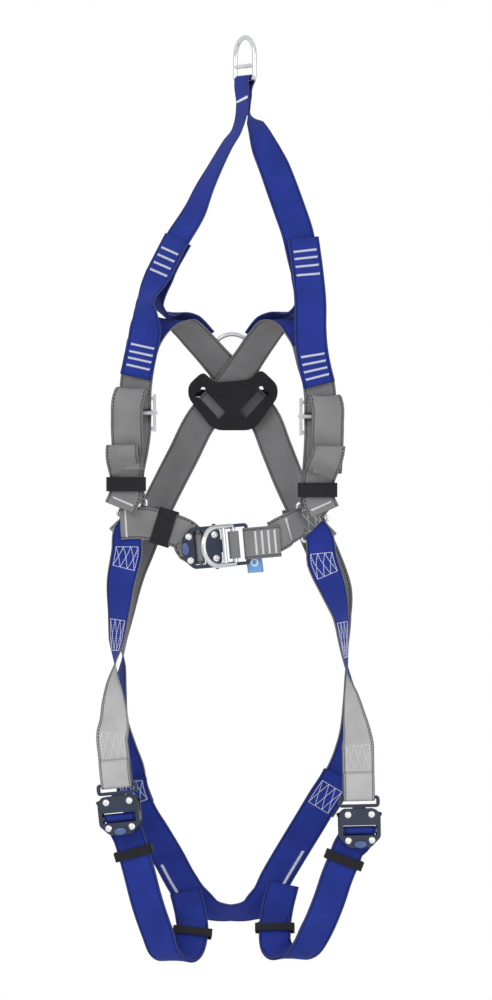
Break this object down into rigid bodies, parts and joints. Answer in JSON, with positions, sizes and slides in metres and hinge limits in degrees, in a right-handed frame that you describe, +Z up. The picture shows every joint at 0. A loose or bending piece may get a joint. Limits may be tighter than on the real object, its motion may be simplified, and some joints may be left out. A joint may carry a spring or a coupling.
{
  "type": "safety harness",
  "caption": "Full-body safety harness with an overhead rescue strap and ring, quick-connect leg and chest buckles, a chest ring and a dorsal ring.",
  "frame": {"origin": "centre of the rescue ring's eye, where the harness hangs", "axes": "+Z up along the hanging harness, -Y the wearer's front, +X to the right in the front view"},
  "size_m": [0.3977, 0.1973, 1.2983],
  "materials": {
    "webbing_blue": "twill webbing, royal blue face",
    "webbing_grey": "twill webbing, mid-grey face",
    "ring_steel": "polished plated steel",
    "adjuster_steel": "plated steel",
    "rivet_steel": "domed, bright",
    "slate_alloy": "slate-blue anodised alloy",
    "lever_black": "black oxide steel",
    "black_plastic": "matt black",
    "tag_cloth": "light blue woven tag"
  },
  "bodies": {
    "harness": {"adjuster_frame_left": "adjuster_steel", "adjuster_frame_right": "adjuster_steel", "adjuster_strap_left": "webbing_grey", "adjuster_strap_right": "webbing_grey", "buckle_rivets": "rivet_steel", "chest_buckle_back": "slate_alloy", "chest_buckle_front": "slate_alloy", "chest_strap_left": "webbing_grey", "chest_strap_right": "webbing_grey", "chest_webbing_bar": "rivet_steel", "dorsal_plate": "black_plastic", "hip_ring_left": "ring_steel", "hip_ring_right": "ring_steel", "hip_strap_left": "webbing_blue", "hip_strap_right": "webbing_blue", "label_tag": "tag_cloth", "leg_left_buckle_back": "slate_alloy", "leg_left_buckle_front": "slate_alloy", "leg_left_webbing_bar": "rivet_steel", "leg_right_buckle_back": "slate_alloy", "leg_right_buckle_front": "slate_alloy", "leg_right_webbing_bar": "rivet_steel", "leg_strap_left": "webbing_blue", "leg_strap_right": "webbing_blue", "lever_springs": "rivet_steel", "link_front_left": "webbing_blue", "link_front_right": "webbing_blue", "link_rear_left": "webbing_blue", "link_rear_right": "webbing_blue", "rescue_strap": "webbing_blue", "ring_bracket": "black_plastic", "seat_strap": "webbing_blue", "shoulder_strap_left": "webbing_blue", "shoulder_strap_right": "webbing_blue"},
    "rescue_ring": {"rescue_ring": "ring_steel"},
    "dorsal_ring": {"dorsal_ring": "ring_steel"},
    "chest_tongue": {"chest_tongue": "slate_alloy", "chest_loop": "webbing_grey", "ring_loop": "webbing_grey"},
    "front_ring": {"front_ring": "ring_steel"},
    "leg_left_tongue": {"leg_left_tongue": "slate_alloy", "hip_loop_left": "webbing_grey"},
    "leg_right_tongue": {"leg_right_tongue": "slate_alloy", "hip_loop_right": "webbing_grey"},
    "leg_left_lever_a": {"leg_left_lever_a": "lever_black"},
    "leg_left_lever_b": {"leg_left_lever_b": "lever_black"},
    "leg_right_lever_a": {"leg_right_lever_a": "lever_black"},
    "leg_right_lever_b": {"leg_right_lever_b": "lever_black"},
    "chest_lever_a": {"chest_lever_a": "lever_black"},
    "chest_lever_b": {"chest_lever_b": "lever_black"},
    "shoulder_keeper_left": {"shoulder_keeper_left": "black_plastic"},
    "shoulder_keeper_right": {"shoulder_keeper_right": "black_plastic"},
    "chest_keeper": {"chest_keeper": "black_plastic"},
    "leg_keeper_upper_left": {"leg_keeper_upper_left": "black_plastic"},
    "leg_keeper_upper_right": {"leg_keeper_upper_right": "black_plastic"},
    "leg_keeper_lower_left": {"leg_keeper_lower_left": "black_plastic"},
    "leg_keeper_lower_right": {"leg_keeper_lower_right": "black_plastic"},
    "adjuster_bar_left": {"adjuster_bar_left": "adjuster_steel"},
    "adjuster_bar_right": {"adjuster_bar_right": "adjuster_steel"}
  },
  "joints": [
    {"name": "rescue_ring_tilt", "type": "hinge", "parent": "harness", "child": "rescue_ring", "pos_m": [0, 0, -0.0385], "axis": [0.5, -0.866, 0], "range_deg": [-60, 60]},
    {"name": "dorsal_ring_fold", "type": "hinge", "parent": "harness", "child": "dorsal_ring", "pos_m": [-0.018, 0.071, -0.464], "axis": [-1, 0, 0], "range_deg": [0, 105]},
    {"name": "leg_left_tongue_slide", "type": "slide", "parent": "harness", "child": "leg_left_tongue", "axis": [-0.1029, 0.0182, 0.9945], "range_m": [0, 0.022]},
    {"name": "leg_right_tongue_slide", "type": "slide", "parent": "harness", "child": "leg_right_tongue", "axis": [-0.0174, -0.0018, 0.9998], "range_m": [0, 0.022]},
    {"name": "chest_tongue_slide", "type": "slide", "parent": "harness", "child": "chest_tongue", "axis": [0.9962, 0, 0.0872], "range_m": [0, 0.022]},
    {"name": "front_ring_swing", "type": "hinge", "parent": "chest_tongue", "child": "front_ring", "pos_m": [-0.01516, -0.0682, -0.68925], "axis": [-0.0872, 0, 0.9962], "range_deg": [-16, 76]},
    {"name": "leg_left_lever_a_press", "type": "hinge", "parent": "harness", "child": "leg_left_lever_a", "pos_m": [-0.19191, -0.05984, -1.04782], "axis": [-0.1736, -0.9848, 0], "range_deg": [0, 8], "stiffness_Nm_per_rad": 0.05},
    {"name": "leg_left_lever_b_press", "type": "hinge", "parent": "harness", "child": "leg_left_lever_b", "pos_m": [-0.15959, -0.06554, -1.04437], "axis": [0.1736, 0.9848, 0], "range_deg": [0, 8], "stiffness_Nm_per_rad": 0.05},
    {"name": "leg_right_lever_a_press", "type": "hinge", "parent": "harness", "child": "leg_right_lever_a", "pos_m": [0.1423, -0.06475, -1.06429], "axis": [0.1045, -0.9945, 0], "range_deg": [0, 8], "stiffness_Nm_per_rad": 0.05},
    {"name": "leg_right_lever_b_press", "type": "hinge", "parent": "harness", "child": "leg_right_lever_b", "pos_m": [0.17511, -0.06131, -1.06371], "axis": [-0.1045, 0.9945, 0], "range_deg": [0, 8], "stiffness_Nm_per_rad": 0.05},
    {"name": "chest_lever_a_press", "type": "hinge", "parent": "harness", "child": "chest_lever_a", "pos_m": [-0.0425, -0.062, -0.67508], "axis": [0, -1, 0], "range_deg": [0, 8], "stiffness_Nm_per_rad": 0.05},
    {"name": "chest_lever_b_press", "type": "hinge", "parent": "harness", "child": "chest_lever_b", "pos_m": [-0.03963, -0.062, -0.70796], "axis": [0, 1, 0], "range_deg": [0, 8], "stiffness_Nm_per_rad": 0.05},
    {"name": "shoulder_keeper_left_shift", "type": "slide", "parent": "harness", "child": "shoulder_keeper_left", "axis": [0, 0, 1], "range_m": [-0.002, 0]},
    {"name": "shoulder_keeper_right_shift", "type": "slide", "parent": "harness", "child": "shoulder_keeper_right", "axis": [0, 0, 1], "range_m": [-0.002, 0]},
    {"name": "chest_keeper_shift", "type": "slide", "parent": "harness", "child": "chest_keeper", "axis": [-0.9232, 0.2539, 0.2885], "range_m": [-0.004, 0]},
    {"name": "leg_keeper_upper_left_shift", "type": "slide", "parent": "harness", "child": "leg_keeper_upper_left", "axis": [0.2827, 0.0652, -0.957], "range_m": [-0.002, 0.004]},
    {"name": "leg_keeper_upper_right_shift", "type": "slide", "parent": "harness", "child": "leg_keeper_upper_right", "axis": [-0.3702, 0.081, -0.9254], "range_m": [-0.002, 0.004]},
    {"name": "leg_keeper_lower_left_shift", "type": "slide", "parent": "harness", "child": "leg_keeper_lower_left", "axis": [0.0603, 0.3217, 0.9449], "range_m": [-0.002, 0.002]},
    {"name": "leg_keeper_lower_right_shift", "type": "slide", "parent": "harness", "child": "leg_keeper_lower_right", "axis": [0.0189, 0.3218, 0.9466], "range_m": [-0.002, 0.002]},
    {"name": "adjuster_bar_left_slide", "type": "slide", "parent": "harness", "child": "adjuster_bar_left", "axis": [0, 0, -1], "range_m": [0, 0.003]},
    {"name": "adjuster_bar_right_slide", "type": "slide", "parent": "harness", "child": "adjuster_bar_right", "axis": [0, 0, -1], "range_m": [0, 0.003]}
  ]
}
